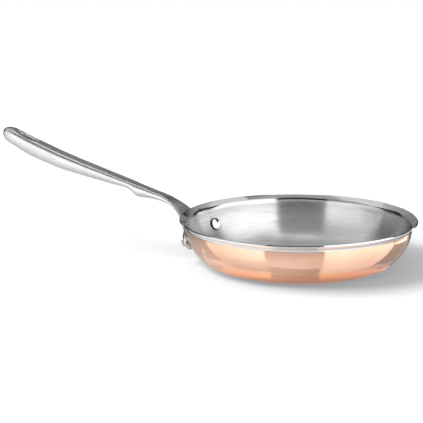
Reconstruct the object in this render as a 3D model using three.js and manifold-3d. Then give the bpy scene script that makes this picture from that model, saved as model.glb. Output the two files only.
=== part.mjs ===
// Copper-clad frying pan with a riveted cast handle. Millimetres, +Z up.
// The origin is the middle of the base's underside, and the handle points along -X.
import * as THREE from 'three';
import { mergeVertices } from 'three/addons/utils/BufferGeometryUtils.js';
import Module from 'manifold-3d';

// Pan
const lipRadius = 105;
const panHeight = 40.8;
const baseRadius = 70.4;
const lipOverhang = 5;
const lipSlope = THREE.MathUtils.degToRad(41);
const lipFlareRadius = 5.3;
const wallLean = THREE.MathUtils.degToRad(84.5);
const baseArm = 17.1;
const wallArm = 14.6;
const copperDrop = 6.75;

// Bonded sheet, from the outside in
const copperThickness = 0.5;
const outerSteelThickness = 0.5;
const coreThickness = 1.2;
const cookingSteelThickness = 0.5;
const bondGap = 0.02;

// Handle. Root stations are measured outwards from the lip's edge and upwards from its top,
// and grip stations back from the handle's tip and upwards from it.
const handleReach = 177.8;
const handleRise = 62.3;
const handleCrownShare = 0.42;
const handleTipSquareness = 2.6;
const handleTopSquareness = 2.6;
const handleBellySquareness = 2.2;
const rootStations = [
  { top: [-5, -16.5], belly: [-3.9, -19.9], halfWidth: 23 },
  { top: [-3, -9.7], belly: [-0.3, -12.2], halfWidth: 21 },
  { top: [-0.6, -3.6], belly: [2.2, -6.6], halfWidth: 18 },
  { top: [3, 1.2], belly: [5.6, -1.7], halfWidth: 14.5 },
  { top: [7.4, 5.4], belly: [9.8, 1.6], halfWidth: 11.2 },
  { top: [13.2, 9.4], belly: [14.8, 4.6], halfWidth: 8.8 },
  { top: [21, 13.1], belly: [22.2, 6.8], halfWidth: 7.5 },
  { top: [30, 16], belly: [31.4, 8.3], halfWidth: 7.2 },
  { top: [38, 18.7], belly: [40.2, 9.1], halfWidth: 7.5 },
  { top: [45, 21], belly: [47.6, 10.2], halfWidth: 7.7 },
  { top: [50, 22.7], belly: [52, 14.6], halfWidth: 7.8 },
  { top: [55, 24.3], belly: [56.4, 16.9], halfWidth: 7.9 },
  { top: [64, 27.2], belly: [66, 18.7], halfWidth: 8.2 },
];
const gripStations = [
  { top: [62, -18], belly: [57.6, -32.1], halfWidth: 9.4 },
  { top: [44, -11.3], belly: [38.6, -25.9], halfWidth: 9.6 },
  { top: [28, -5], belly: [22, -19.3], halfWidth: 9.6 },
  { top: [15, 0.5], belly: [11.4, -13.3], halfWidth: 9.4 },
];

// Hang slot and the dish around it
const slotLength = 16;
const slotWidth = 8;
const slotFromTip = 24;
const dishLength = 25;
const dishWidth = 14;
const dishDepth = 2.2;

// Flange and rivets
const flangeThickness = 4;
const flangeEdgeSquareness = 3.4;
const earRadius = 7.6;
const rivetSpacing = 68;
const rivetDrop = 20.2;
const rivetShankRadius = 2.5;
const rivetHeadRadius = 6;
const rivetHeadRim = 0.7;
const rivetHeadHeight = 1.9;
const rivetTailRadius = 3.2;
const rivetTailRim = 0.9;
const rivetTailHeight = 2.2;

// Clearances
const seatGap = 0.3;
const holeGap = 0.3;
const lipGap = 0.8;
const trimDepth = 1;

// Facets
const turnSteps = 48;
const wallSteps = 8;
const flareSteps = 3;
const sectionSteps = 20;
const stationSteps = 38;
const tipSteps = 6;
const rivetSteps = 14;
const domeSteps = 4;
const slotSteps = 8;
const earSteps = 5;
const flangeSteps = 12;
const shareStep = 0.001;

const wasm = await Module();
wasm.setup();

// Closed solid from a three.js geometry: shared corners merged, collapsed triangles left out.
function solidOf(geometry) {
  const bare = geometry.clone();
  bare.deleteAttribute('normal');
  bare.deleteAttribute('uv');
  const merged = mergeVertices(bare);
  const corners = merged.index.array;
  const kept = [];
  for (let i = 0; i < corners.length; i += 3) {
    const [a, b, c] = corners.slice(i, i + 3);
    if (a !== b && b !== c && c !== a) kept.push(a, b, c);
  }
  return new wasm.Manifold(new wasm.Mesh({
    numProp: 3,
    vertProperties: merged.attributes.position.array,
    triVerts: Uint32Array.from(kept),
  }));
}

// Named mesh from a solid.
function meshOf(name, solid, material) {
  const { vertProperties, triVerts } = solid.getMesh();
  const geometry = new THREE.BufferGeometry();
  geometry.setAttribute('position', new THREE.BufferAttribute(vertProperties, 3));
  geometry.setIndex(new THREE.BufferAttribute(triVerts, 1));
  geometry.computeVertexNormals();
  const mesh = new THREE.Mesh(geometry, material);
  mesh.name = name;
  return mesh;
}

// Solid of revolution about Z from [radius, height] points, upwards on the outside.
function revolve(points, steps) {
  const profile = points.map(([radius, height]) => new THREE.Vector2(radius, height));
  return solidOf(new THREE.LatheGeometry(profile, steps).rotateX(Math.PI / 2));
}

// Outermost face of the bonded sheet

const sheetThickness = copperThickness + outerSteelThickness + coreThickness + cookingSteelThickness;
const wallTopRadius = lipRadius - lipOverhang;
const rimRadius = (sheetThickness - copperThickness) / 2;
const rimDepth = sheetThickness - rimRadius;
const lipEdgeHeight = panHeight - rimRadius - rimDepth * Math.cos(lipSlope)
  + (rimRadius - rimDepth * Math.sin(lipSlope)) * Math.tan(lipSlope);
const flareWidth = lipFlareRadius * (Math.sin(wallLean) - Math.sin(lipSlope));
const flareRise = lipFlareRadius * (Math.cos(lipSlope) - Math.cos(wallLean));
const lipRise = (lipOverhang - flareWidth) * Math.tan(lipSlope);
const wallTopHeight = lipEdgeHeight - lipRise - flareRise;
const wallCurve = new THREE.CubicBezierCurve(
  new THREE.Vector2(baseRadius, 0),
  new THREE.Vector2(baseRadius + baseArm, 0),
  new THREE.Vector2(
    wallTopRadius - wallArm * Math.cos(wallLean),
    wallTopHeight - wallArm * Math.sin(wallLean),
  ),
  new THREE.Vector2(wallTopRadius, wallTopHeight),
);

// Points of the face that lies depth inside the outermost one, up the wall only.
function wallFace(depth) {
  const points = [];
  for (let i = 0; i <= wallSteps; i += 1) {
    const at = wallCurve.getPoint(i / wallSteps);
    const along = wallCurve.getTangent(i / wallSteps);
    points.push([at.x - depth * along.y, at.y + depth * along.x]);
  }
  return points;
}

// Radius at which a face meets the lip's full-round rim.
function rimEdge(depth) {
  const offset = depth - rimDepth;
  const run = Math.sqrt(Math.max(rimRadius ** 2 - offset ** 2, 0));
  return lipRadius - rimRadius - offset * Math.sin(lipSlope) + run * Math.cos(lipSlope);
}

// The same face from the axis to the lip's edge: base, wall, flare and lip.
function sheetFace(depth, edgeRadius = rimEdge(depth)) {
  const points = [[0, depth], ...wallFace(depth)];
  const centreRadius = wallTopRadius + lipFlareRadius * Math.sin(wallLean);
  const centreHeight = wallTopHeight - lipFlareRadius * Math.cos(wallLean);
  const reach = lipFlareRadius + depth;
  for (let i = 1; i <= flareSteps; i += 1) {
    const turn = THREE.MathUtils.lerp(wallLean, lipSlope, i / flareSteps);
    points.push([centreRadius - reach * Math.sin(turn), centreHeight + reach * Math.cos(turn)]);
  }
  const edgeHeight = lipEdgeHeight + (edgeRadius - lipRadius) * Math.tan(lipSlope);
  points.push([edgeRadius, edgeHeight + depth / Math.cos(lipSlope)]);
  return points;
}

// The part of a face that lies under a height, ending on it.
function below(points, height) {
  const kept = points.filter((point) => point[1] < height);
  const [fromRadius, fromHeight] = kept[kept.length - 1];
  const [toRadius, toHeight] = points[kept.length];
  const share = (height - fromHeight) / (toHeight - fromHeight);
  return [...kept, [THREE.MathUtils.lerp(fromRadius, toRadius, share), height]];
}

// One ply of the sheet between two depths.
function ply(outerDepth, innerDepth, topHeight = Infinity) {
  const limit = (points) => (topHeight < Infinity ? below(points, topHeight) : points);
  return revolve([...limit(sheetFace(outerDepth)), ...limit(sheetFace(innerDepth)).reverse()], turnSteps);
}

// A ring round the wall between two depths, which may lie outside the sheet.
function wallRing(outerDepth, innerDepth) {
  const outer = wallFace(outerDepth);
  return revolve([...outer, ...wallFace(innerDepth).reverse(), outer[0]], turnSteps);
}

// Rivet places: on the wall, square to its outer face

const rivetHeight = panHeight - rivetDrop;
let rivetShare = 0;
while (wallCurve.getPointAt(rivetShare).y < rivetHeight) rivetShare += shareStep;
const rivetWall = wallCurve.getPointAt(rivetShare);
const rivetAlong = wallCurve.getTangentAt(rivetShare);
const rivetSwing = Math.asin(rivetSpacing / 2 / rivetWall.x);

// Turns a solid built along +Z, with Z = 0 on the wall's outer face, to the rivet on one side.
function placeAtRivet(geometry, side) {
  const heading = Math.PI - side * rivetSwing;
  const outward = new THREE.Vector3(
    rivetAlong.y * Math.cos(heading),
    rivetAlong.y * Math.sin(heading),
    -rivetAlong.x,
  );
  const across = new THREE.Vector3(-Math.sin(heading), Math.cos(heading), 0);
  const up = new THREE.Vector3().crossVectors(outward, across);
  const frame = new THREE.Matrix4().makeBasis(across, up, outward);
  frame.setPosition(rivetWall.x * Math.cos(heading), rivetWall.x * Math.sin(heading), rivetWall.y);
  return geometry.clone().applyMatrix4(frame);
}

// Round bar along +Z between two distances.
function bar(radius, from, to) {
  const geometry = new THREE.CylinderGeometry(radius, radius, to - from, rivetSteps);
  return geometry.rotateX(Math.PI / 2).translate(0, 0, (from + to) / 2);
}

// Low domed head along +Z: a straight rim, then a dome that closes on the axis.
function domedHead(radius, from, rim, height) {
  const points = [new THREE.Vector2(0, from), new THREE.Vector2(radius, from)];
  for (let i = 0; i <= domeSteps; i += 1) {
    const turn = (i / domeSteps) * (Math.PI / 2);
    points.push(new THREE.Vector2(radius * Math.cos(turn), rim + (height - rim) * Math.sin(turn)));
  }
  return new THREE.LatheGeometry(points, rivetSteps).rotateX(Math.PI / 2);
}

const flangeFace = seatGap + flangeThickness;
const holeReach = 2 * (sheetThickness + flangeFace);

function rivetHole(side) {
  return solidOf(placeAtRivet(bar(rivetShankRadius + holeGap, -holeReach, holeReach), side));
}

// Solid rivet: the factory head inside the pan, the set tail outside, each bedded on its curved face.
function rivet(side) {
  const tailSeat = flangeFace + seatGap;
  const headSeat = sheetThickness + seatGap;
  const tail = domedHead(rivetTailRadius, 0, tailSeat + rivetTailRim, tailSeat + rivetTailHeight);
  const head = domedHead(rivetHeadRadius, 0, headSeat + rivetHeadRim, headSeat + rivetHeadHeight);
  const shank = bar(rivetShankRadius, -headSeat - rivetHeadRim, tailSeat + rivetTailRim);
  const ends = solidOf(placeAtRivet(tail, side)).add(solidOf(placeAtRivet(head.rotateX(Math.PI), side)));
  return ends.subtract(wallRing(-tailSeat, headSeat)).add(solidOf(placeAtRivet(shank, side)));
}

// Handle

// Closed skin through rings of points, drawn to one point before the first and one after the last.
function loft(start, rings, end) {
  const count = rings[0].length;
  const points = [start, ...rings.flat(), end];
  const lastRing = points.length - 1 - count;
  const triangles = [];
  for (let j = 0; j < count; j += 1) {
    const beside = (j + 1) % count;
    triangles.push(0, 1 + j, 1 + beside);
    for (let ring = 1; ring < lastRing; ring += count) {
      const [a, b, c, d] = [ring + j, ring + beside, ring + count + j, ring + count + beside];
      triangles.push(b, a, d, d, a, c);
    }
    triangles.push(lastRing + beside, lastRing + j, points.length - 1);
  }
  return new THREE.BufferGeometry().setFromPoints(points).setIndex(triangles);
}

// Point of a rounded square outline of half-size 1: power 2 is a circle, more is squarer.
function squircle(turn, power) {
  const draw = (value) => Math.sign(value) * Math.abs(value) ** (2 / power);
  return [draw(Math.cos(turn)), draw(Math.sin(turn))];
}

// Smooth line in the handle's upright plane through one point of every station.
function stationLine(key) {
  const fromLip = ([out, rise]) => new THREE.Vector3(-lipRadius - out, 0, panHeight + rise);
  const fromTip = ([back, rise]) => fromLip([handleReach - back, handleRise + rise]);
  return new THREE.CatmullRomCurve3([
    ...rootStations.map((station) => fromLip(station[key])),
    ...gripStations.map((station) => fromTip(station[key])),
  ]);
}

const topLine = stationLine('top');
const bellyLine = stationLine('belly');
const widthLine = new THREE.CatmullRomCurve3(
  [...rootStations, ...gripStations].map((station, i) => new THREE.Vector3(i, station.halfWidth, 0)),
);

const handleMiddle = (share) => topLine.getPoint(share).lerp(bellyLine.getPoint(share), handleCrownShare);

// One section of the handle: a squarish crown over a rounder belly, shrunk by size about its middle.
// Sections bend round the pan's axis, which only the wide root feels.
function handleSection(share, size, shift) {
  const halfWidth = widthLine.getPoint(share).y;
  const ring = [];
  for (let i = 0; i < sectionSteps; i += 1) {
    const turn = (i / sectionSteps) * 2 * Math.PI;
    const crown = turn <= Math.PI;
    const [across, rise] = squircle(turn, crown ? handleTopSquareness : handleBellySquareness);
    const edge = (crown ? topLine : bellyLine).getPoint(share);
    const point = handleMiddle(share).lerp(edge, Math.abs(rise) * size).add(shift);
    point.y = halfWidth * across * size;
    point.x = -Math.sqrt(point.x ** 2 - point.y ** 2);
    ring.push(point);
  }
  return ring;
}

// Stem: sections along the stations, then a rounded end out to the handle's full reach.
function stem() {
  const rings = [];
  const heading = topLine.getTangent(1);
  const endRun = (handleReach + lipRadius + handleMiddle(1).x) / -heading.x;
  for (let i = 0; i <= stationSteps; i += 1) {
    rings.push(handleSection(i / stationSteps, 1, new THREE.Vector3()));
  }
  for (let i = 1; i < tipSteps; i += 1) {
    const [size, run] = squircle((i / tipSteps) * (Math.PI / 2), handleTipSquareness);
    rings.push(handleSection(1, size, heading.clone().multiplyScalar(endRun * run)));
  }
  return solidOf(loft(handleMiddle(0), rings, handleMiddle(1).addScaledVector(heading, endRun)));
}

// Outline with two round ends, centred on the origin.
function slotOutline(centres, radius) {
  const outline = new THREE.Shape();
  outline.absarc(centres / 2, 0, radius, -Math.PI / 2, Math.PI / 2);
  outline.absarc(-centres / 2, 0, radius, Math.PI / 2, 1.5 * Math.PI);
  return outline;
}

// Point on or outside the wall: swung round the pan's axis, up along the wall and out from its seat.
function flangePoint(swing, up, out) {
  const share = rivetShare + up / wallCurve.getLength();
  const at = wallCurve.getPointAt(share);
  const along = wallCurve.getTangentAt(share);
  const radius = at.x + (seatGap + out) * along.y;
  const height = at.y - (seatGap + out) * along.x;
  return new THREE.Vector3(-radius * Math.cos(swing), radius * Math.sin(swing), height);
}

// One section of the flange, with rounded edges outside, drawn into the wall for the trim there.
function flangeSection(swing, size) {
  const ring = [];
  for (let i = 0; i < sectionSteps; i += 1) {
    const turn = (i / sectionSteps) * 2 * Math.PI;
    const [up, out] = squircle(turn, flangeEdgeSquareness);
    ring.push(flangePoint(swing, earRadius * size * up, out * (out > 0 ? flangeThickness : trimDepth)));
  }
  return ring;
}

// Flange: a bar bent round the wall, with a round ear about each rivet.
function flange() {
  const earSwing = earRadius / rivetWall.x;
  const places = [];
  for (let i = 1; i <= earSteps; i += 1) {
    const turn = (i / earSteps) * (Math.PI / 2);
    places.push([-rivetSwing - earSwing * Math.cos(turn), Math.sin(turn)]);
  }
  for (let i = 1; i < flangeSteps; i += 1) places.push([rivetSwing * ((2 * i) / flangeSteps - 1), 1]);
  for (const [swing, size] of places.slice(0, earSteps).reverse()) places.push([-swing, size]);
  const tip = (side) => flangePoint(side * (rivetSwing + earSwing), 0, flangeThickness / 2);
  return solidOf(loft(tip(-1), places.map(([swing, size]) => flangeSection(swing, size)), tip(1)));
}

// The room the pan takes up with its clearances, which the handle stays out of.
function panRoom() {
  const edge = lipRadius + lipGap;
  const ceiling = panHeight + handleRise;
  return revolve([...sheetFace(-seatGap, edge), [edge, ceiling], [0, ceiling]], turnSteps);
}

// Hang slot, square to the handle, with a dished mouth on top.
function hangSlot() {
  let share = 1;
  while (topLine.getPoint(share).x < slotFromTip - handleReach - lipRadius) share -= shareStep;
  const along = topLine.getTangent(share);
  const across = new THREE.Vector3(0, -1, 0);
  const up = new THREE.Vector3().crossVectors(along, across);
  const frame = new THREE.Matrix4().makeBasis(along, across, up);
  frame.setPosition(topLine.getPoint(share));
  const depth = topLine.getPoint(share).distanceTo(bellyLine.getPoint(share));
  const outline = slotOutline(slotLength - slotWidth, slotWidth / 2);
  const slot = new THREE.ExtrudeGeometry(outline, {
    depth: 3 * depth, bevelEnabled: false, curveSegments: slotSteps,
  });
  slot.translate(0, 0, -2 * depth).applyMatrix4(frame);
  const dish = new THREE.SphereGeometry(1, 2 * slotSteps, slotSteps);
  dish.scale(dishLength / 2, dishWidth / 2, dishDepth).applyMatrix4(frame);
  return solidOf(slot).add(solidOf(dish));
}

// Assembly

const steel = new THREE.MeshStandardMaterial({ color: 0xc9cacb, roughness: 0.32, metalness: 1 });
const castSteel = new THREE.MeshStandardMaterial({ color: 0xc4c5c7, roughness: 0.24, metalness: 1 });
const aluminium = new THREE.MeshStandardMaterial({ color: 0xb9bbbd, roughness: 0.45, metalness: 1 });
const copper = new THREE.MeshStandardMaterial({ color: 0xe0a284, roughness: 0.16, metalness: 1 });

const leftHole = rivetHole(1);
const rightHole = rivetHole(-1);
const drilled = (solid) => solid.subtract(leftHole).subtract(rightHole);

const outerSteelFace = copperThickness + bondGap;
const coreFace = copperThickness + outerSteelThickness;
const liningFace = coreFace + coreThickness;
const copperTop = panHeight - copperDrop;
const handleSolid = drilled(stem().add(flange()).subtract(panRoom())).subtract(hangSlot());

const pan = new THREE.Group();
pan.add(
  meshOf('copper_skin', drilled(ply(0, copperThickness, copperTop)), copper),
  meshOf('outer_steel_ply', drilled(ply(outerSteelFace, coreFace)), steel),
  meshOf('aluminium_core', drilled(ply(coreFace + bondGap, liningFace)), aluminium),
  meshOf('cooking_steel_ply', drilled(ply(liningFace + bondGap, sheetThickness)), steel),
  meshOf('handle', handleSolid, castSteel),
  meshOf('rivet_left', rivet(1), steel),
  meshOf('rivet_right', rivet(-1), steel),
);

export default pan;
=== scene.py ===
import math

import bmesh
import bpy
from mathutils import Matrix, Vector


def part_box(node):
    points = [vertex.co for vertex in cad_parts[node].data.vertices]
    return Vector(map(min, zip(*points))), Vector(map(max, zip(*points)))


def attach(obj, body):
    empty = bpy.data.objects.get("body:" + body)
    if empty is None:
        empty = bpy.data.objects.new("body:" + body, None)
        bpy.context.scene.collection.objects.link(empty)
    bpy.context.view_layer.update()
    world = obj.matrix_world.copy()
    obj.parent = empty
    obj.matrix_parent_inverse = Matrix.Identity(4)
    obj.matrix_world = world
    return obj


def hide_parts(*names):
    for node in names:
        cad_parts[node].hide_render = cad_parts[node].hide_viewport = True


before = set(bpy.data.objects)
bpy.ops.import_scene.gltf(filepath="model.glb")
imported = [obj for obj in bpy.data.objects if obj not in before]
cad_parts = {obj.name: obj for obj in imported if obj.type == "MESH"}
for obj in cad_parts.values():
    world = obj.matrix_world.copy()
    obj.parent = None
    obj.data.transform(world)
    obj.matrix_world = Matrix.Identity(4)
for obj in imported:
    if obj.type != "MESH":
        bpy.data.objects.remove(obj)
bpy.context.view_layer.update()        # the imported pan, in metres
mm = 0.001
print("frame loaded:", sorted(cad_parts))


# Small tools for modelling

def clearSelection():
    if bpy.context.object and bpy.context.object.mode != "OBJECT":
        bpy.ops.object.mode_set(mode="OBJECT")
    bpy.ops.object.select_all(action="DESELECT")


def pick(piece):        # the one piece that the next tool works on
    clearSelection()
    piece.select_set(True)
    bpy.context.view_layer.objects.active = piece


def finishPiece(piece, name):        # named, with its place in its mesh
    pick(piece)
    bpy.ops.object.transform_apply(location=True, rotation=True, scale=True)
    piece.name = name
    piece.data.name = name
    return piece


def applyModifier(piece, kind, **settings):
    pick(piece)
    modifier = piece.modifiers.new(kind.title(), kind)
    for key, value in settings.items():
        setattr(modifier, key, value)
    bpy.ops.object.modifier_apply(modifier=modifier.name)


def cutWith(piece, cutter, operation="DIFFERENCE"):        # the cutter is used up
    applyModifier(piece, "BOOLEAN", operation=operation, object=cutter, solver="MANIFOLD")
    bpy.data.objects.remove(cutter)


def roundEdges(piece, shape):        # the edges that turn by more than the edgeAngle
    applyModifier(piece, "BEVEL", width=shape["edgeRound"] * mm, segments=shape["edgeSteps"],
                  limit_method="ANGLE", angle_limit=math.radians(shape["edgeAngle"]))


def smoothShade(piece, shape):
    pick(piece)
    bpy.ops.object.shade_smooth_by_angle(angle=math.radians(shape["smoothAngle"]))


def roundCutter(radius, depth, steps):        # millimetres, along Z
    clearSelection()
    bpy.ops.mesh.primitive_cylinder_add(vertices=steps, radius=radius * mm, depth=depth * mm)
    return bpy.context.object


def spunShape(points, steps):        # points are (radius, height) in metres, turned about Z
    clearSelection()
    bpy.ops.mesh.primitive_plane_add(size=mm)
    piece = bpy.context.object
    bpy.ops.object.mode_set(mode="EDIT")
    bpy.ops.mesh.merge(type="CENTER")
    bpy.ops.transform.translate(value=(points[0][0], 0, points[0][1]))
    for start, end in zip(points, points[1:]):
        bpy.ops.mesh.extrude_region_move(
            TRANSFORM_OT_translate={"value": (end[0] - start[0], 0, end[1] - start[1])})
    bpy.ops.mesh.select_all(action="SELECT")
    bpy.ops.mesh.spin(steps=steps, angle=2 * math.pi, center=(0, 0, 0), axis=(0, 0, 1))
    bpy.ops.mesh.select_all(action="SELECT")
    bpy.ops.mesh.remove_doubles(threshold=mm / 1000)
    bpy.ops.mesh.normals_make_consistent(inside=False)
    bpy.ops.object.mode_set(mode="OBJECT")
    return piece


def skinThrough(rings):        # a ring is drawn out from station to station, then closed
    clearSelection()
    bpy.ops.mesh.primitive_circle_add(vertices=len(rings[0]), fill_type="NGON")
    piece = bpy.context.object
    for vertex, place in zip(piece.data.vertices, rings[0]):
        vertex.co = place
    bpy.ops.object.mode_set(mode="EDIT")
    for before, after in zip(rings, rings[1:]):
        bpy.ops.mesh.extrude_region_move()
        edit = bmesh.from_edit_mesh(piece.data)
        moved = [vertex for vertex in edit.verts if vertex.select]
        for vertex in moved:
            nearest = min(range(len(before)), key=lambda i: (before[i] - vertex.co).length_squared)
            vertex.co = after[nearest]
        bmesh.update_edit_mesh(piece.data)
    bpy.ops.mesh.select_all(action="SELECT")
    bpy.ops.mesh.normals_make_consistent(inside=False)
    bpy.ops.object.mode_set(mode="OBJECT")
    return piece


def squircle(turn, power):        # rounded square of half-size 1
    def draw(value):
        return math.copysign(abs(value) ** (2 / power), value)
    return draw(math.cos(turn)), draw(math.sin(turn))


# Bonded sheet of the pan

sheet = {        # millimetres and degrees
    "lipRadius": 104.98,
    "height": 40.8,
    "baseRadius": 70.4,
    "baseArm": 17.1,        # how far the base runs on before it turns up
    "wallArm": 14.6,
    "wallLean": 84.5,
    "lipOverhang": 5.0,
    "lipSlope": 41.0,
    "flareRadius": 5.3,
    "lipThin": 0.7,        # share of the sheet's depth that is left at the lip
    "thinFrom": 0.4,        # share of the wall where it starts to get thinner
    "copper": 0.5,
    "jacket": 0.5,
    "core": 1.2,
    "lining": 0.5,
    "bond": 0.02,
    "edgeRound": 0.16,
    "edgeRoom": 0.48,        # kept free of points for that rounding
    "edgeSteps": 3,
    "edgeAngle": 40,
    "smoothAngle": 35,
    "buffFrom": 3.0,        # the buffing fades in between these, under the straight part of the lip
    "buffTo": 1.0,
    "rimSquareness": 5.0,        # the rim is cut square and its corners are rounded
    "rimPoints": 10,
    "wallPoints": 30,
    "flarePoints": 14,
    "turns": 192,
}
lipRadius = sheet["lipRadius"] * mm
panHeight = sheet["height"] * mm
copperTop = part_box("copper_skin")[1].z
sheetDepth = (sheet["copper"] + sheet["jacket"] + sheet["core"] + sheet["lining"]) * mm
wallLean = math.radians(sheet["wallLean"])
lipSlope = math.radians(sheet["lipSlope"])
flareRadius = sheet["flareRadius"] * mm
lipThin = sheet["lipThin"]
rimRadius = (sheetDepth - sheet["copper"] * mm) * lipThin / 2        # the copper stops below the rim
rimDepth = sheetDepth * lipThin - rimRadius
rimPower = sheet["rimSquareness"] / (sheet["rimSquareness"] - 1)
rimReach = rimRadius * (math.sin(lipSlope) ** rimPower + math.cos(lipSlope) ** rimPower) ** (1 / rimPower)
wallTopRadius = lipRadius - sheet["lipOverhang"] * mm
lipEdgeHeight = (panHeight - rimReach - rimDepth * math.cos(lipSlope)
                 + (rimReach - rimDepth * math.sin(lipSlope)) * math.tan(lipSlope))
flareWidth = flareRadius * (math.sin(wallLean) - math.sin(lipSlope))
flareRise = flareRadius * (math.cos(lipSlope) - math.cos(wallLean))
lipRise = (sheet["lipOverhang"] * mm - flareWidth) * math.tan(lipSlope)
wallTop = Vector((wallTopRadius, lipEdgeHeight - lipRise - flareRise))
wallStart = Vector((sheet["baseRadius"] * mm, 0))
wallPull = [
    wallStart,
    wallStart + Vector((sheet["baseArm"] * mm, 0)),
    wallTop - sheet["wallArm"] * mm * Vector((math.cos(wallLean), math.sin(wallLean))),
    wallTop,
]


def wallAt(share):        # place on the outermost face, and the way up along it
    a, b, c, d = wallPull
    rest = 1 - share
    place = a * rest ** 3 + 3 * b * share * rest ** 2 + 3 * c * share ** 2 * rest + d * share ** 3
    along = (b - a) * rest ** 2 + 2 * (c - b) * share * rest + (d - c) * share ** 2
    return place, along.normalized()


def thinning(share):        # 1 at the base, lipThin at the wall's top
    up = min(max((share - sheet["thinFrom"]) / (1 - sheet["thinFrom"]), 0), 1)
    return 1 - (1 - lipThin) * up * up * (3 - 2 * up)


def wallFace(depth):
    points = []
    for i in range(sheet["wallPoints"] + 1):
        share = i / sheet["wallPoints"]
        place, along = wallAt(share)
        inward = depth * thinning(share) if depth > 0 else depth
        points.append((place.x - inward * along.y, place.y + inward * along.x))
    return points


def rimEdge(depth):        # how far out a face runs before the rim ends it
    offset = depth - rimDepth
    left = 1 - min(abs(offset) / rimRadius, 1) ** sheet["rimSquareness"]
    run = rimRadius * left ** (1 / sheet["rimSquareness"])
    return lipRadius - rimReach - offset * math.sin(lipSlope) + run * math.cos(lipSlope)


def sheetFace(depth, edge=None):        # base, wall, flare and lip
    points = [(0, depth), *wallFace(depth)]
    if depth > 0:
        depth *= lipThin
    edge = edge or rimEdge(depth)
    centre = wallTop + flareRadius * Vector((math.sin(wallLean), -math.cos(wallLean)))
    reach = flareRadius + depth
    for i in range(1, sheet["flarePoints"] + 1):
        turn = wallLean + (lipSlope - wallLean) * i / sheet["flarePoints"]
        points.append((centre.x - reach * math.sin(turn), centre.y + reach * math.cos(turn)))
    rise = (edge - lipRadius) * math.tan(lipSlope)
    points.append((edge, lipEdgeHeight + rise + depth / math.cos(lipSlope)))
    return points


def upTo(points, height):        # the part of a face under a height, ending on it
    under = [point for point in points if point[1] < height]
    low, high = under[-1], points[len(under)]
    share = (height - low[1]) / (high[1] - low[1])
    kept = [point for point in under if point[1] < height - sheet["edgeRoom"] * mm]
    return [*kept, (low[0] + share * (high[0] - low[0]), height)]


def makePly(name, outer, inner, top=None):
    faces = [sheetFace(outer), sheetFace(inner)]
    rim = []
    if top:
        faces = [upTo(face, top) for face in faces]
    else:
        for i in range(1, sheet["rimPoints"]):
            rim.append(sheetFace(outer + (inner - outer) * i / sheet["rimPoints"])[-1])
    piece = spunShape([*faces[0], *rim, *reversed(faces[1])], sheet["turns"])
    if top:
        roundEdges(piece, sheet)
    smoothShade(piece, sheet)
    return finishPiece(piece, name)


lipStart = sheetFace(sheetDepth)[-2][1]        # height where the flare ends and the lip runs straight
copperDepth = sheet["copper"] * mm
jacketDepth = copperDepth + sheet["jacket"] * mm
coreDepth = jacketDepth + sheet["core"] * mm
bond = sheet["bond"] * mm
copperShell = makePly("copperShell", 0, copperDepth, copperTop)
steelJacket = makePly("steelJacket", copperDepth + bond, jacketDepth)
coreLayer = makePly("coreLayer", jacketDepth + bond, coreDepth)
panLining = makePly("panLining", coreDepth + bond, sheetDepth)
print("bonded sheet made: lip", round(2 * lipRadius / mm), "mm across")


# Rivets, and the flange that they hold

rivets = {        # millimetres and degrees
    "spacing": 68.0,
    "height": 20.6,
    "shankRadius": 2.5,
    "headRadius": 6.0,
    "headRim": 0.7,
    "headHeight": 1.9,
    "tailRadius": 3.2,
    "tailRim": 0.9,
    "tailHeight": 2.2,
    "edgeRound": 0.15,
    "edgeSteps": 3,
    "edgeAngle": 50,
    "smoothAngle": 35,
    "shadeRingFrom": 4.9,        # painted shade: the head's edge is painted dark between these radii, standing in for the shade and dark reflection round it
    "shadeRingTo": 5.7,
    "holeGap": 0.3,
    "holeDepth": 40,        # more than the flange's thickness
    "holeSteps": 48,
    "seatGap": 0.3,
    "steps": 64,
    "domePoints": 10,
}
flange = {        # millimetres
    "thickness": 4.0,
    "edgeSquareness": 3.4,
    "earRadius": 7.6,
    "trimDepth": 1.0,
    "earRings": 10,
    "barRings": 30,
    "ringPoints": 40,
}
seatGap = rivets["seatGap"] * mm
flangeOut = seatGap + flange["thickness"] * mm
lengthSteps = 400        # in which the wall's length is measured
lengthTable = [0.0]        # wall length up to each share
for i in range(lengthSteps):
    step = wallAt((i + 1) / lengthSteps)[0] - wallAt(i / lengthSteps)[0]
    lengthTable.append(lengthTable[-1] + step.length)


def wallAtLength(length):
    i = max(j for j in range(lengthSteps) if lengthTable[j] <= max(length, 0))
    part = (length - lengthTable[i]) / (lengthTable[i + 1] - lengthTable[i])
    return wallAt((i + part) / lengthSteps)


def rivetMiss(i):        # how far a place on the wall is from the rivets' height
    return abs(wallAt(i / lengthSteps)[0].y - rivets["height"] * mm)


rivetIndex = min(range(lengthSteps), key=rivetMiss)
rivetLength = lengthTable[rivetIndex]
rivetWall, rivetAlong = wallAtLength(rivetLength)
rivetSwing = math.asin(rivets["spacing"] * mm / 2 / rivetWall.x)


def rivetFrame(side):        # Z points out of the wall at the rivet
    heading = math.pi - side * rivetSwing
    outward = Vector((rivetAlong.y * math.cos(heading), rivetAlong.y * math.sin(heading), -rivetAlong.x))
    across = Vector((-math.sin(heading), math.cos(heading), 0))
    place = Vector((rivetWall.x * math.cos(heading), rivetWall.x * math.sin(heading), rivetWall.y))
    turn = Matrix((across, outward.cross(across), outward)).transposed().to_4x4()
    return Matrix.Translation(place) @ turn


def dome(end, seat):        # from the top edge of the rim to the axis
    radius, rim, height = [rivets[end + size] * mm for size in ("Radius", "Rim", "Height")]
    points = []
    for i in range(rivets["domePoints"] + 1):
        turn = i / rivets["domePoints"] * math.pi / 2
        points.append((radius * math.cos(turn), seat + rim + (height - rim) * math.sin(turn)))
    return points


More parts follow.
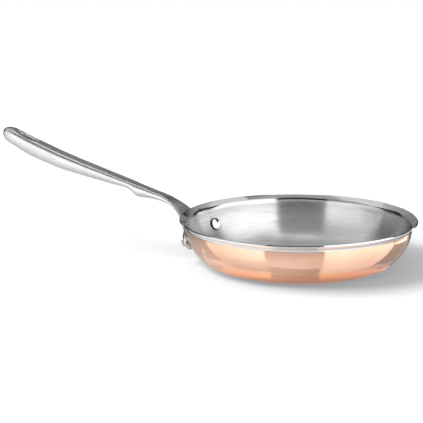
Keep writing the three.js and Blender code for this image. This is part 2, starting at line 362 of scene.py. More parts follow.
def makeRivet(name, side):
    headSeat = sheetDepth * thinning(rivetIndex / lengthSteps) + seatGap
    tailSeat = flangeOut + seatGap
    shank = rivets["shankRadius"] * mm
    outline = [(radius, -height) for radius, height in reversed(dome("head", headSeat))]
    outline += [(rivets["headRadius"] * mm, -headSeat), (shank, -headSeat)]
    outline += [(shank, tailSeat), (rivets["tailRadius"] * mm, tailSeat)]
    piece = spunShape([*outline, *dome("tail", tailSeat)], rivets["steps"])
    roundEdges(piece, rivets)
    piece.matrix_world = rivetFrame(side)
    smoothShade(piece, rivets)
    return finishPiece(piece, name)


rivetFar = makeRivet("rivetFar", 1)
rivetNear = makeRivet("rivetNear", -1)
print("rivets made")


# Cast handle

handle = {        # millimetres: out and up from the lip's edge, or back and up from the tip
    "crownShare": 0.42,
    "tipSquareness": 2.6,
    "topSquareness": 2.6,
    "bellySquareness": 2.2,
    "root": [
        {"top": (-5, -16.5), "belly": (-3.9, -19.9), "halfWidth": 23},
        {"top": (-3, -9.7), "belly": (-0.3, -12.2), "halfWidth": 21},
        {"top": (-0.6, -3.6), "belly": (2.2, -6.6), "halfWidth": 18},
        {"top": (3, 1.2), "belly": (5.6, -1.7), "halfWidth": 14.5},
        {"top": (7.4, 5.4), "belly": (9.8, 1.6), "halfWidth": 11.2},
        {"top": (13.2, 9.4), "belly": (14.8, 4.6), "halfWidth": 8.8},
        {"top": (21, 13.1), "belly": (22.2, 6.8), "halfWidth": 7.5},
        {"top": (30, 16), "belly": (31.4, 8.3), "halfWidth": 7.2},
        {"top": (38, 18.7), "belly": (40.2, 9.1), "halfWidth": 7.5},
        {"top": (45, 21), "belly": (47.6, 10.2), "halfWidth": 7.7},
        {"top": (50, 22.7), "belly": (52, 14.6), "halfWidth": 7.8},
        {"top": (55, 24.3), "belly": (56.4, 16.9), "halfWidth": 7.9},
        {"top": (64, 27.2), "belly": (66, 18.7), "halfWidth": 8.2},
    ],
    "grip": [
        {"top": (62, -18), "belly": (57.6, -32.1), "halfWidth": 9.4},
        {"top": (44, -11.3), "belly": (38.6, -25.9), "halfWidth": 9.6},
        {"top": (28, -5), "belly": (22, -19.3), "halfWidth": 9.6},
        {"top": (15, 0.5), "belly": (11.4, -13.3), "halfWidth": 9.4},
    ],
    "reach": 177.8,
    "rise": 62.3,
    "rings": 96,
    "tipRings": 14,
    "ringPoints": 40,
    "lipGap": 0.8,
    "slotLength": 16,
    "slotWidth": 8,
    "slotDepth": 60,        # more than the grip's depth
    "slotSteps": 48,
    "slotFromTip": 24,
    "dishLength": 25,
    "dishWidth": 14,
    "dishDepth": 2.2,
    "dishSteps": 64,
    "grain": 0.5,        # size of the small faces that the casting is cut into
    "filletFrom": 2,        # the fillet into the flange fades out beyond this, over the run
    "filletRun": 14,
    "filletRounds": 40,
    "skinRounds": 8,
    "smoothAngle": 40,
    "tilt": 19,        # degrees, how steeply the grip runs down to the pan
}
reach = handle["reach"] * mm
gripTilt = math.radians(handle["tilt"])
nudge = 0.001        # a small step along the handle, as a share of its length


def throughPoints(points, share):        # smooth line through every point
    span = min(int(share * (len(points) - 1)), len(points) - 2)
    part = share * (len(points) - 1) - span
    a, b = points[span], points[span + 1]
    before = points[span - 1] if span else a * 2 - b
    after = points[span + 2] if span + 2 < len(points) else b * 2 - a
    gaps = [math.sqrt((q - p).length) for p, q in ((before, a), (a, b), (b, after))]
    leave = ((a - before) / gaps[0] - (b - before) / (gaps[0] + gaps[1]) + (b - a) / gaps[1]) * gaps[1]
    arrive = ((b - a) / gaps[1] - (after - a) / (gaps[1] + gaps[2]) + (after - b) / gaps[2]) * gaps[1]
    return (a * (2 * part ** 3 - 3 * part ** 2 + 1) + leave * (part ** 3 - 2 * part ** 2 + part)
            + b * (3 * part ** 2 - 2 * part ** 3) + arrive * (part ** 3 - part ** 2))


def stationLine(key):
    points = []
    for station in handle["root"]:
        out, up = station[key]
        points.append(Vector((-lipRadius - out * mm, 0, panHeight + up * mm)))
    for station in handle["grip"]:
        back, up = station[key]
        points.append(Vector((-lipRadius - reach + back * mm, 0, panHeight + (handle["rise"] + up) * mm)))
    return points


topLine = stationLine("top")
bellyLine = stationLine("belly")
widthLine = [
    Vector((i, station["halfWidth"], 0))
    for i, station in enumerate([*handle["root"], *handle["grip"]])
]


def handleMiddle(share):
    return throughPoints(topLine, share).lerp(throughPoints(bellyLine, share), handle["crownShare"])


def handleRing(share, size=1.0, shift=Vector()):        # squarish crown over a rounder belly
    halfWidth = throughPoints(widthLine, share).y * mm
    top, belly, middle = throughPoints(topLine, share), throughPoints(bellyLine, share), handleMiddle(share)
    ring = []
    for i in range(handle["ringPoints"]):
        turn = i / handle["ringPoints"] * 2 * math.pi
        crown = turn <= math.pi
        across, rise = squircle(turn, handle["topSquareness"] if crown else handle["bellySquareness"])
        point = middle.lerp(top if crown else belly, abs(rise) * size) + shift
        point.y = halfWidth * across * size
        point.x = -math.sqrt(point.x ** 2 - point.y ** 2)        # bent round the pan, felt at the root
        ring.append(point)
    return ring


def makeStem():
    rings = [handleRing(i / handle["rings"]) for i in range(handle["rings"] + 1)]
    heading = (throughPoints(topLine, 1) - throughPoints(topLine, 1 - nudge)).normalized()
    endRun = (reach + lipRadius + handleMiddle(1).x) / -heading.x
    for i in range(1, handle["tipRings"]):
        size, run = squircle(i / handle["tipRings"] * math.pi / 2, handle["tipSquareness"])
        rings.append(handleRing(1, size, heading * endRun * run))
    return skinThrough(rings)


def flangeAt(swing, up, out):        # round the pan, up the wall and out from its seat
    place, along = wallAtLength(rivetLength + up)
    radius = place.x + (seatGap + out) * along.y
    height = place.y - (seatGap + out) * along.x
    return Vector((-radius * math.cos(swing), radius * math.sin(swing), height))


def makeFlange():
    earSwing = flange["earRadius"] * mm / rivetWall.x
    places = []
    for i in range(1, flange["earRings"] + 1):
        turn = i / flange["earRings"] * math.pi / 2
        places.append((-rivetSwing - earSwing * math.cos(turn), math.sin(turn)))
    ends = [(-swing, size) for swing, size in reversed(places)]
    for i in range(1, flange["barRings"]):
        places.append((rivetSwing * (2 * i / flange["barRings"] - 1), 1))
    rings = []
    for swing, size in [*places, *ends]:
        ring = []
        for i in range(flange["ringPoints"]):
            up, out = squircle(i / flange["ringPoints"] * 2 * math.pi, flange["edgeSquareness"])
            depth = out * (flange["thickness"] if out > 0 else flange["trimDepth"]) * mm
            ring.append(flangeAt(swing, flange["earRadius"] * mm * size * up, depth))
        rings.append(ring)
    return skinThrough(rings)


def panRoom():        # what the handle stays out of
    edge = lipRadius + handle["lipGap"] * mm
    ceiling = 2 * panHeight + handle["rise"] * mm
    return spunShape([*sheetFace(-seatGap, edge), (edge, ceiling), (0, ceiling)], sheet["turns"])


def slotFrame():
    share = 1.0
    while throughPoints(topLine, share).x < handle["slotFromTip"] * mm - reach - lipRadius:
        share -= nudge
    along = (throughPoints(topLine, share) - throughPoints(topLine, share - 10 * nudge)).normalized()
    across = Vector((0, -1, 0))
    turn = Matrix((along, across, along.cross(across))).transposed().to_4x4()
    return Matrix.Translation(throughPoints(topLine, share)) @ turn


def makeSlotCutter():        # a long round-ended hole
    cutter = roundCutter(handle["slotWidth"] / 2, handle["slotDepth"], handle["slotSteps"])
    stretch = (handle["slotLength"] - handle["slotWidth"]) * mm / 2
    for vertex in cutter.data.vertices:
        vertex.co.x += math.copysign(stretch, vertex.co.x)
    cutter.matrix_world = slotFrame()
    return cutter


def makeDishCutter():
    clearSelection()
    steps = handle["dishSteps"]
    bpy.ops.mesh.primitive_uv_sphere_add(segments=steps, ring_count=steps // 2, radius=1)
    cutter = bpy.context.object
    halves = (handle["dishLength"] * mm / 2, handle["dishWidth"] * mm / 2, handle["dishDepth"] * mm, 1)
    cutter.matrix_world = slotFrame() @ Matrix.Diagonal(halves)
    return cutter


def makeHandle():
    piece = makeStem()
    applyModifier(piece, "SUBSURF", levels=1, render_levels=1)
    cutWith(piece, makeDishCutter())
    cutWith(piece, makeSlotCutter())
    cutWith(piece, makeFlange(), "UNION")
    applyModifier(piece, "REMESH", mode="VOXEL", voxel_size=handle["grain"] * mm)
    root = piece.vertex_groups.new(name="root")        # the casting's fillet into its flange
    for vertex in piece.data.vertices:
        beyond = (-vertex.co.x - lipRadius) / mm - handle["filletFrom"]
        root.add([vertex.index], 1 - min(max(beyond / handle["filletRun"], 0), 1), "REPLACE")
    applyModifier(piece, "SMOOTH", factor=0.5, iterations=handle["filletRounds"], vertex_group="root")
    applyModifier(piece, "SMOOTH", factor=0.5, iterations=handle["skinRounds"])
    cutWith(piece, panRoom())
    holeRadius = rivets["shankRadius"] + rivets["holeGap"]
    for side in (1, -1):
        hole = roundCutter(holeRadius, rivets["holeDepth"], rivets["holeSteps"])
        hole.matrix_world = rivetFrame(side)
        cutWith(piece, hole)
    smoothShade(piece, handle)
    return finishPiece(piece, "castHandle")


castHandle = makeHandle()
print("handle made:", len(castHandle.data.polygons), "faces")


# Materials

marks = {        # millimetres: size of the marks in each finish
    "hairline": 0.5,        # real ones are 0.1 mm apart, drawn coarser to show
    "tarnish": 26,
    "paintedWarmFrom": 20,        # heights between which the copper is painted warmer and deeper: a painted reflection of the shaded floor near the base
    "paintedWarmTo": 4,
    "fineBrush": 0.35,
    "broadBrush": 1.6,        # as coarse as brush marks show from a step away
    "satin": 0.4,
    "cut": 0.3,
    "handleBrush": 0.5,
    "castCloud": 14,
    "pit": 0.6,
}


def linear(hexColour):        # sRGB hex to the linear colour that shaders take
    channels = [int(hexColour[i:i + 2], 16) / 255 for i in (1, 3, 5)]
    return (*[c / 12.92 if c <= 0.04045 else ((c + 0.055) / 1.055) ** 2.4 for c in channels], 1)


def addNode(tree, kind, inputs=None, **settings):
    node = tree.nodes.new(kind)
    for key, value in settings.items():
        setattr(node, key, value)
    for key, value in (inputs or {}).items():
        if isinstance(value, bpy.types.NodeSocket):
            tree.links.new(value, node.inputs[key])
        else:
            node.inputs[key].default_value = value
    return node


def startMaterial(name):
    material = bpy.data.materials.new(name)
    material.use_nodes = True
    tree = material.node_tree
    return material, tree, tree.nodes["Principled BSDF"]


def easedBetween(tree, value, start, end):        # 0 at the start and 1 at the end
    return addNode(tree, "ShaderNodeMapRange", {"Value": value, "From Min": start, "From Max": end},
                   interpolation_type="SMOOTHSTEP").outputs[0]


def blend(tree, share, first, second):        # from one colour to another
    return addNode(tree, "ShaderNodeMix", {"Factor": share, "A": first, "B": second},
                   data_type="RGBA").outputs["Result"]


def tones(tree, pattern, dark, pale, low=0.3, high=0.7):        # colour by a pattern's value
    ramp = addNode(tree, "ShaderNodeValToRGB", {"Fac": pattern})
    for element, colour, position in zip(ramp.color_ramp.elements, (dark, pale), (low, high)):
        element.color = linear(colour)
        element.position = position
    return ramp.outputs["Color"]


def spread(tree, pattern, atLow, atHigh, low=0.3, high=0.7):        # roughness by a pattern's value
    return addNode(tree, "ShaderNodeMapRange", {"Value": pattern, "From Min": low, "From Max": high,
                                                "To Min": atLow, "To Max": atHigh}).outputs[0]


def relief(tree, pattern, strength, depth):        # depth in millimetres
    return addNode(tree, "ShaderNodeBump", {"Height": pattern, "Strength": strength,
                                            "Distance": depth * mm}).outputs[0]


def spots(tree, place, size, detail=3.0, rough=0.5):        # size in millimetres
    return addNode(tree, "ShaderNodeTexNoise", {"Vector": place, "Scale": 1 / (size * mm), "Detail": detail,
                                                "Roughness": rough}).outputs["Fac"]


def roundStreaks(tree, width, around):        # lines that run round the pan, width in millimetres
    place = addNode(tree, "ShaderNodeTexCoord").outputs["Object"]
    flat = addNode(tree, "ShaderNodeVectorMath", {0: place, 1: (1, 1, 0)}, operation="MULTIPLY").outputs[0]
    heading = addNode(tree, "ShaderNodeVectorMath", {0: flat}, operation="NORMALIZE").outputs[0]
    outward = addNode(tree, "ShaderNodeVectorMath", {0: flat}, operation="LENGTH").outputs["Value"]
    upward = addNode(tree, "ShaderNodeSeparateXYZ", {0: place}).outputs["Z"]
    run = addNode(tree, "ShaderNodeMath", {0: outward, 1: upward}, operation="ADD").outputs[0]
    across = addNode(tree, "ShaderNodeMath", {0: run, 1: 1 / (width * mm)}, operation="MULTIPLY").outputs[0]
    lift = addNode(tree, "ShaderNodeCombineXYZ", {"Z": across}).outputs[0]
    turn = addNode(tree, "ShaderNodeVectorMath", {0: heading, "Scale": around}, operation="SCALE")
    line = addNode(tree, "ShaderNodeVectorMath", {0: turn.outputs[0], 1: lift}, operation="ADD").outputs[0]
    return addNode(tree, "ShaderNodeTexNoise", {"Vector": line, "Scale": 1.0, "Detail": 3.0,
                                                "Roughness": 0.6}).outputs["Fac"]


def finishMetal(tree, shader, colour, rough, bump=None):
    tree.links.new(colour, shader.inputs["Base Color"])
    tree.links.new(rough, shader.inputs["Roughness"])
    if bump is not None:
        tree.links.new(bump, shader.inputs["Normal"])
    shader.inputs["Metallic"].default_value = 1.0


def brushAlong(tree, shader, way, amount):        # light smears across the brush's way
    tree.links.new(way, shader.inputs["Tangent"])
    shader.inputs["Anisotropic"].default_value = amount
    shader.inputs["Anisotropic Rotation"].default_value = 0.25


def buffedLip(tree, rough, bright):        # the lip is buffed after the brushing
    place = addNode(tree, "ShaderNodeTexCoord").outputs["Object"]
    upward = addNode(tree, "ShaderNodeSeparateXYZ", {0: place}).outputs["Z"]
    buffed = easedBetween(tree, upward, lipStart - sheet["buffFrom"] * mm, lipStart - sheet["buffTo"] * mm)
    return addNode(tree, "ShaderNodeMix", {"Factor": buffed, "A": rough, "B": bright}).outputs[0]


def polishedCopper():        # rolled copper, buffed on a wheel: a warm mirror with faint round hairlines
    material, tree, shader = startMaterial("polishedCopper")
    place = addNode(tree, "ShaderNodeTexCoord").outputs["Object"]
    tone = tones(tree, spots(tree, place, marks["tarnish"], detail=4.0), "#eabb9f", "#f2c6ab")
    upward = addNode(tree, "ShaderNodeSeparateXYZ", {0: place}).outputs["Z"]
    # painted reflection: towards the base the copper is painted warmer and deeper, standing in for the
    # shaded floor that it mirrors there
    low = addNode(tree, "ShaderNodeMapRange", {"Value": upward, "From Min": marks["paintedWarmFrom"] * mm,
                                               "From Max": marks["paintedWarmTo"] * mm})
    hairlines = roundStreaks(tree, marks["hairline"], around=5.0)
    finishMetal(tree, shader, colour=blend(tree, low.outputs[0], tone, linear("#f4b48c")),
                rough=spread(tree, hairlines, 0.06, 0.11), bump=relief(tree, hairlines, 0.02, 0.02))
    shader.inputs["Coat Weight"].default_value = 0.2        # thin shop lacquer
    shader.inputs["Coat Roughness"].default_value = 0.05
    return material


def brushedLining():        # stainless, brushed round the pan, so that light smears up and down
    material, tree, shader = startMaterial("brushedStainlessLining")
    fine = roundStreaks(tree, marks["fineBrush"], around=7.0)
    broad = roundStreaks(tree, marks["broadBrush"], around=4.0)
    both = addNode(tree, "ShaderNodeMix", {"Factor": 0.5, "A": fine, "B": broad}).outputs[0]
    finishMetal(tree, shader, colour=tones(tree, both, "#bababb", "#dcdcdc"),
                rough=buffedLip(tree, spread(tree, both, 0.34, 0.26), 0.07),
                bump=relief(tree, both, 0.25, 0.05))
    around = addNode(tree, "ShaderNodeTangent", direction_type="RADIAL", axis="Z")
    brushAlong(tree, shader, around.outputs[0], 1.0)
    return material


def satinJacket():        # stainless sheet with a fine satin finish, turned with the pan
    material, tree, shader = startMaterial("satinStainlessSheet")
    lines = roundStreaks(tree, marks["satin"], around=6.0)
    finishMetal(tree, shader, colour=tones(tree, lines, "#e2e1e0", "#eeedec"),
                rough=spread(tree, lines, 0.14, 0.08), bump=relief(tree, lines, 0.04, 0.03))
    return material


def cutAluminium():        # the core's edge, cut and buffed
    material, tree, shader = startMaterial("cutAluminiumEdge")
    lines = roundStreaks(tree, marks["cut"], around=9.0)
    finishMetal(tree, shader, colour=tones(tree, lines, "#d3d4d5", "#e4e5e6", low=0, high=1),
                rough=spread(tree, lines, 0.08, 0.04, low=0, high=1))
    return material


def castSteel():        # cast stainless, satin brushed along its length, so that light smears across it
    material, tree, shader = startMaterial("satinCastStainless")
    place = addNode(tree, "ShaderNodeTexCoord").outputs["Object"]
    turned = addNode(tree, "ShaderNodeMapping", {"Vector": place, "Rotation": (0, -gripTilt, 0)}).outputs[0]
    stretch = addNode(tree, "ShaderNodeVectorMath", {0: turned, 1: (0.03, 1, 1)}, operation="MULTIPLY")
    lines = spots(tree, stretch.outputs[0], marks["handleBrush"], rough=0.6)
    cloud = spots(tree, place, marks["castCloud"])
    both = addNode(tree, "ShaderNodeMix", {"Factor": 0.35, "A": lines, "B": cloud}).outputs[0]
    finishMetal(tree, shader, colour=tones(tree, both, "#b0b0b2", "#c8c8ca"),
                rough=spread(tree, both, 0.30, 0.22), bump=relief(tree, lines, 0.05, 0.03))
    along = addNode(tree, "ShaderNodeCombineXYZ", {"X": math.cos(gripTilt), "Z": -math.sin(gripTilt)})
    brushAlong(tree, shader, along.outputs[0], 0.8)
    return material


def tumbledRivet():        # cold-headed stainless, tumbled bright, with painted shade: a dark ring painted round the head's edge
    material, tree, shader = startMaterial("tumbledStainlessRivet")
    place = addNode(tree, "ShaderNodeTexCoord").outputs["Object"]
    pits = spots(tree, place, marks["pit"], detail=4.0)
    tone = tones(tree, pits, "#cbcbcc", "#e0e0e0", low=0, high=1)
    middle, axis = rivetFrame(1).translation, rivetFrame(1).col[2]
    folded = addNode(tree, "ShaderNodeVectorMath", {0: place}, operation="ABSOLUTE")        # for both
    offset = addNode(tree, "ShaderNodeVectorMath", {0: folded.outputs[0], 1: [abs(c) for c in middle]},
                     operation="SUBTRACT")
    turned = addNode(tree, "ShaderNodeVectorMath", {0: offset.outputs[0], 1: (-axis.x, axis.y, axis.z)},
                     operation="CROSS_PRODUCT")
    outward = addNode(tree, "ShaderNodeVectorMath", {0: turned.outputs[0]}, operation="LENGTH")
    # painted shade: a dark ring on the head's edge, standing in for the shade and dark reflection round the
    # head
    paintedShadeRing = easedBetween(tree, outward.outputs["Value"], rivets["shadeRingFrom"] * mm,
                           rivets["shadeRingTo"] * mm)
    finishMetal(tree, shader, colour=blend(tree, paintedShadeRing, tone, linear("#3c3c3d")),
                rough=spread(tree, pits, 0.1, 0.2), bump=relief(tree, pits, 0.05, 0.05))
    return material


rivetFinish = tumbledRivet()
pieces = [        # piece, finish, CAD node, material slot
    (copperShell, polishedCopper(), "copper_skin", "copper"),
    (steelJacket, satinJacket(), "outer_steel_ply", "sheet_steel"),
    (coreLayer, cutAluminium(), "aluminium_core", "core_aluminium"),
    (panLining, brushedLining(), "cooking_steel_ply", "cooking_steel"),
    (castHandle, castSteel(), "handle", "cast_steel"),
    (rivetFar, rivetFinish, "rivet_left", "rivet_steel"),
    (rivetNear, rivetFinish, "rivet_right", "rivet_steel"),
]
for piece, finish, node, slot in pieces:
    piece.data.materials.clear()
    piece.data.materials.append(finish)
    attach(piece, "root")
    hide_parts(node)
print("materials set")


# Studio

studio = {        # metres, degrees and light levels
    "azimuth": 19.1,
    "elevation": 12.47,
    "distance": 1.680,
    "lookHeight": 0.0407,
    "shiftRight": -0.07663,
    "shiftUp": 0.00615,
    "focal": 1906.8,        # pixels
    "imageSize": 423,
    "sensor": 36.0,
    "floorSize": 12.0,
    "floorDrop": 0.0002,        # keeps the floor clear of the base
    "floorWhite": 0.8,
    "floorGlow": 0.34,
    "glowFrom": 0.35,        # how near, from 0 to 1, the floor's own light starts to fade
    "nearFloor": 0.5,
    "farFloor": 1.0,
    "floorGloss": 3.2,
    "glossRough": 0.06,
    "glossIndex": 2.0,
    "ambient": 0.3,
    "roomRadius": 3.0,
    "roomHeight": 1.6,
    "roomGrey": 0.07,
    "roomSides": 64,
}
flats = [        # corners in pairs from the floor up: (right, towards the camera, up)
    {"name": "frontSlit", "level": 0.15, "corners": [        # where the camera looks into the tent
        (-0.90, 1.0, 0.0), (0.66, 1.0, 0.0),
        (-0.80, 0.65, 1.5), (0.52, 0.65, 1.5),
    ], "fade": {"from": (0, 0, 0.40), "to": (0, 0, 1.15), "level": 0.9}},
    {"name": "topSlit", "level": 0.02, "corners": [        # its dark end overhead
        (-0.70, 0.68, 1.26), (0.54, 0.68, 1.26),
        (-0.66, 0.64, 1.5), (0.52, 0.64, 1.5),
        (-0.46, 0.04, 1.5), (0.26, 0.04, 1.5),
    ]},
    {"name": "topVeil", "level": 0.5, "corners": [        # grey overhead, which the far lip mirrors
        (-0.50, 0.04, 1.5), (0.50, 0.04, 1.5),
        (-0.60, -0.20, 1.5), (0.60, -0.20, 1.5),
    ]},
    {"name": "softboxTop", "level": 2.1, "corners": [        # brightens the pan's floor
        (-0.20, -0.24, 1.5), (0.30, -0.24, 1.5),
        (-0.20, -0.80, 1.6), (0.30, -0.80, 1.6),
    ]},
    {"name": "topShade", "level": 0.3, "corners": [        # grey for the handle's shoulder
        (0.30, -0.20, 1.5), (0.65, -0.20, 1.5),
        (0.30, -0.80, 1.6), (0.65, -0.80, 1.6),
    ]},
    {"name": "greyBackdrop", "level": 0.28, "corners": [
        (-2.2, -2.0, 0.0), (2.2, -2.0, 0.0),
        (-2.2, -2.0, 2.8), (2.2, -2.0, 2.8),
    ], "fade": {"from": (0, 0, 0.4), "to": (0, 0, 2.6), "level": 0.7}},
    {"name": "handleFlag", "level": 0.5, "corners": [        # dark upper part, for the handle's top
        (0.12, -1.95, 0.6), (0.42, -1.95, 0.6),
        (0.12, -1.95, 4.6), (0.60, -1.95, 4.6),
    ], "fade": {"from": (0, 0, 0.6), "to": (0, 0, 1.7), "level": 0.04}},
    {"name": "backFlag", "level": 0.02, "corners": [        # dark part, for the handle's neck
        (0.42, -1.95, 0.50), (1.25, -1.95, 0.50),
        (0.42, -1.95, 4.2), (1.25, -1.95, 4.2),
    ], "fade": {"from": (0.68, 0, 0), "to": (1.1, 0, 0), "level": 0.34}},
    {"name": "backSkirt", "level": 0.0, "corners": [        # dark foot that draws the line under the lip
        (-0.9, -0.35, 0.0), (0.9, -0.35, 0.0),
        (-0.9, -0.35, 0.043), (0.9, -0.35, 0.043),
    ]},
    {"name": "skirtLeft", "level": 0.0, "corners": [
        (-0.50, -0.36, 0.0), (-0.20, -0.36, 0.0),
        (-0.50, -0.36, 0.25), (-0.20, -0.36, 0.25),
    ]},
    {"name": "skirtRight", "level": 0.0, "corners": [
        (0.20, -0.36, 0.0), (0.32, -0.36, 0.0),
        (0.20, -0.36, 0.25), (0.32, -0.36, 0.25),
    ]},
    {"name": "darkSweep", "level": 0.22, "corners": [        # sheet behind the pan, which draws its outline
        (-0.10, -0.14, 0.0005), (0.118, -0.038, 0.0005),
        (-0.7, -0.7, 0.0005), (0.8, -0.5, 0.0005),
    ]},
    {"name": "darkLeft", "level": 0.07, "corners": [        # dark corners, which end the copper's bands
        (-1.3, -0.25, 0.3), (-1.3, -1.8, 0.3),
        (-1.3, -0.25, 1.25), (-1.3, -1.8, 1.25),
    ]},
    {"name": "darkRight", "level": 0.07, "corners": [
        (1.25, -0.35, 0.5), (1.25, -1.7, 0.5),
        (1.25, -0.35, 1.3), (1.25, -1.7, 1.3),
    ]},
    {"name": "softboxLeftLow", "level": 2.3, "corners": [        # bright walls that lean in
        (-0.29, 0.46, 0.0), (-0.95, -0.30, 0.0),
        (-0.325, 0.42, 0.42), (-0.97, -0.31, 0.42),
    ], "fade": {"from": (-0.36, 0.38, 0), "to": (-0.75, -0.07, 0), "level": 1.3}},
    {"name": "softboxLeft", "level": 1.15, "corners": [
        (-0.325, 0.42, 0.42), (-0.97, -0.31, 0.42),
        (-0.44, 0.43, 0.94), (-1.00, -0.32, 0.94),
        (-0.36, 0.00, 1.45), (-1.05, -0.33, 1.45),
    ], "fade": {"from": (0, 0, 0.42), "to": (0, 0, 1.1), "level": 0.35}},
    {"name": "softboxRightLow", "level": 2.3, "corners": [
        (0.20, 0.55, 0.0), (0.92, -0.30, 0.0),
        (0.235, 0.50, 0.42), (0.94, -0.32, 0.42),
    ], "fade": {"from": (0.28, 0.46, 0), "to": (0.80, -0.15, 0), "level": 2.0}},
    {"name": "softboxRight", "level": 2.0, "corners": [
        (0.235, 0.50, 0.42), (0.94, -0.32, 0.42),
        (0.28, 0.42, 0.94), (0.97, -0.34, 0.94),
        (0.30, 0.04, 1.45), (1.12, -0.45, 1.45),
    ], "fade": {"from": (0, 0, 0.85), "to": (0, 0, 1.4), "level": 1.2}},
    {"name": "softboxBehind", "level": 3.0, "corners": [
        (0.94, -0.32, 0.14), (0.75, -0.85, 0.14),
        (0.96, -0.33, 0.33), (0.76, -0.87, 0.33),
    ]},
]
keyLamp = {"place": (-3.4, 0.17, 3.06), "size": 3.74, "level": 5.7}        # place as in the flats
azimuth = math.radians(studio["azimuth"])
elevation = math.radians(studio["elevation"])
toCamera = Vector((math.sin(azimuth) * math.cos(elevation), -math.cos(azimuth) * math.cos(elevation),
                   math.sin(elevation)))
rightward = Vector((math.cos(azimuth), math.sin(azimuth), 0))
upward = toCamera.cross(rightward)
frontward = Vector((math.sin(azimuth), -math.cos(azimuth), 0))


def makeCamera():
    clearSelection()
    middle = Vector((0, 0, studio["lookHeight"]))
    place = (middle + rightward * studio["shiftRight"] + upward * studio["shiftUp"]
             + toCamera * studio["distance"])
    bpy.ops.object.camera_add(location=place)
    camera = bpy.context.object
    camera.rotation_euler = toCamera.to_track_quat("Z", "Y").to_euler()
    camera.data.sensor_width = studio["sensor"]
    camera.data.lens = studio["sensor"] * studio["focal"] / studio["imageSize"]
    bpy.context.scene.camera = camera


def shownRay(tree):        # 1 for rays that look at the background: straight, mirrored or through glass
    path = addNode(tree, "ShaderNodeLightPath").outputs
    some = addNode(tree, "ShaderNodeMath", {0: path["Is Camera Ray"], 1: path["Is Glossy Ray"]},
                   operation="MAXIMUM")
    return addNode(tree, "ShaderNodeMath", {0: some.outputs[0], 1: path["Is Transmission Ray"]},
                   operation="MAXIMUM").outputs[0]


def makeWorld():
    world = bpy.data.worlds.new("paleStudio")
    bpy.context.scene.world = world
    world.use_nodes = True
    tree = world.node_tree
    strength = addNode(tree, "ShaderNodeMapRange", {"Value": shownRay(tree), "To Min": studio["ambient"]})
    tree.links.new(strength.outputs[0], tree.nodes["Background"].inputs["Strength"])
    tree.nodes["Background"].inputs["Color"].default_value = (1, 1, 1, 1)


def makeFloor():        # white acrylic: matt to the eye, glossy in what the metal mirrors
    clearSelection()
    bpy.ops.mesh.primitive_plane_add(size=studio["floorSize"], location=(0, 0, -studio["floorDrop"]))
    floor = bpy.context.object
    floor.name = "studioFloor"
    material, tree = startMaterial("whiteAcrylicFloor")[:2]
    place = addNode(tree, "ShaderNodeTexCoord").outputs["Object"]
    away = addNode(tree, "ShaderNodeVectorMath", {0: place}, operation="LENGTH").outputs["Value"]
    near = easedBetween(tree, away, studio["farFloor"], studio["nearFloor"])
    glow = addNode(tree, "ShaderNodeMapRange", {"Value": near, "From Min": studio["glowFrom"], "To Min": 1.0,
                                                "To Max": studio["floorGlow"]})
    shown = addNode(tree, "ShaderNodeMath", {0: glow.outputs[0], 1: shownRay(tree)}, operation="MULTIPLY")
    coolShadowTint = blend(tree, near, (1, 1, 1, 1), linear("#fafafe"))        # painted shade tint: the floor's glow is cooler near the pan, which tints the shadow there cool
    light = addNode(tree, "ShaderNodeEmission", {"Color": coolShadowTint, "Strength": shown.outputs[0]})
    white = addNode(tree, "ShaderNodeMath", {0: near, 1: studio["floorWhite"]}, operation="MULTIPLY")
    matt = addNode(tree, "ShaderNodeBsdfDiffuse", {"Color": white.outputs[0]})
    gloss = addNode(tree, "ShaderNodeBsdfGlossy", {"Roughness": studio["glossRough"]})
    path = addNode(tree, "ShaderNodeLightPath")
    graze = addNode(tree, "ShaderNodeFresnel", {"IOR": studio["glossIndex"]})
    mirrored = addNode(tree, "ShaderNodeMath", {0: graze.outputs[0], 1: path.outputs["Is Glossy Ray"]},
                       operation="MULTIPLY")
    share = addNode(tree, "ShaderNodeMath", {0: mirrored.outputs[0], 1: studio["floorGloss"]},
                    operation="MULTIPLY", use_clamp=True)
    body = addNode(tree, "ShaderNodeMixShader", {0: share.outputs[0], 1: matt.outputs[0],
                                                 2: gloss.outputs[0]})
    total = addNode(tree, "ShaderNodeAddShader", {0: body.outputs[0], 1: light.outputs[0]})
    tree.links.new(total.outputs[0], tree.nodes["Material Output"].inputs["Surface"])
    floor.data.materials.append(material)


def inRoom(place):        # (right, towards the camera, up) as a place in the scene
    side, front, height = place
    return rightward * side + frontward * front + Vector((0, 0, height))


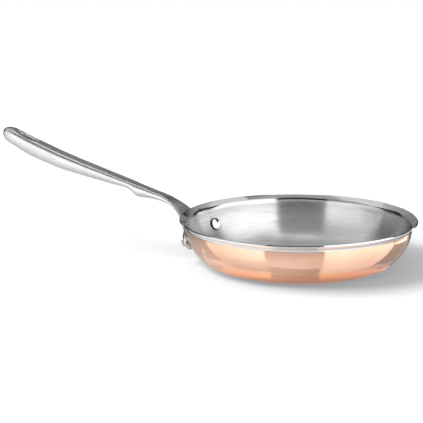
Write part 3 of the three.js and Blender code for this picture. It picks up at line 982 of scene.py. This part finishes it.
def fadedLevel(tree, level, fade):        # light that changes from one line on a flat to another
    start = inRoom(fade["from"])
    run = inRoom(fade["to"]) - start
    step = run / run.length_squared
    place = addNode(tree, "ShaderNodeTexCoord").outputs["Object"]
    along = addNode(tree, "ShaderNodeVectorMath", {0: place, 1: step}, operation="DOT_PRODUCT")
    return addNode(tree, "ShaderNodeMapRange", {"Value": along.outputs["Value"], "From Min": start.dot(step),
                                                "From Max": start.dot(step) + 1, "To Min": level,
                                                "To Max": fade["level"]}).outputs[0]


def onlyMirrored(flat, name, level, fade=None):        # a flat that only the metal sees
    flat.name = name
    material, tree, shader = startMaterial(name)
    shader.inputs["Base Color"].default_value = (0, 0, 0, 1)
    shader.inputs["Specular IOR Level"].default_value = 0.0
    shader.inputs["Emission Color"].default_value = (1, 1, 1, 1)
    shader.inputs["Emission Strength"].default_value = level
    if fade:
        tree.links.new(fadedLevel(tree, level, fade), shader.inputs["Emission Strength"])
    flat.data.materials.append(material)
    for ray in ("camera", "diffuse", "transmission", "volume_scatter", "shadow"):
        setattr(flat, "visible_" + ray, False)


def standFlat(corners):        # pairs of corners from the floor up
    clearSelection()
    bpy.ops.mesh.primitive_grid_add(x_subdivisions=1, y_subdivisions=len(corners) // 2 - 1, size=1)
    flat = bpy.context.object
    for vertex, place in zip(flat.data.vertices, corners):
        vertex.co = inRoom(place)
    return flat


def makeTent():        # dark room, and the flats that stand in it
    clearSelection()
    bpy.ops.mesh.primitive_cylinder_add(
        vertices=studio["roomSides"], radius=studio["roomRadius"], depth=studio["roomHeight"],
        end_fill_type="NOTHING", location=(0, 0, studio["roomHeight"] / 2))
    onlyMirrored(bpy.context.object, "darkStudio", studio["roomGrey"])
    for flat in flats:
        onlyMirrored(standFlat(flat["corners"]), flat["name"], flat["level"], flat.get("fade"))


def makeKeyLamp():        # lights the floor, so that the shadow falls to the right
    clearSelection()
    place = inRoom(keyLamp["place"])
    bpy.ops.object.light_add(type="AREA", location=place)
    lamp = bpy.context.object
    lamp.name = "keyLamp"
    lamp.data.size = keyLamp["size"]
    lamp.data.energy = keyLamp["level"] * math.pi * keyLamp["size"] ** 2
    lamp.rotation_euler = place.to_track_quat("Z", "Y").to_euler()
    lamp.visible_camera = False
    lamp.visible_glossy = False


makeCamera()
makeWorld()
makeFloor()
makeTent()
makeKeyLamp()
bpy.context.scene.cycles.caustics_reflective = False        # no copper glints thrown on the floor
bpy.context.scene.view_settings.view_transform = "Standard"
print("studio set")
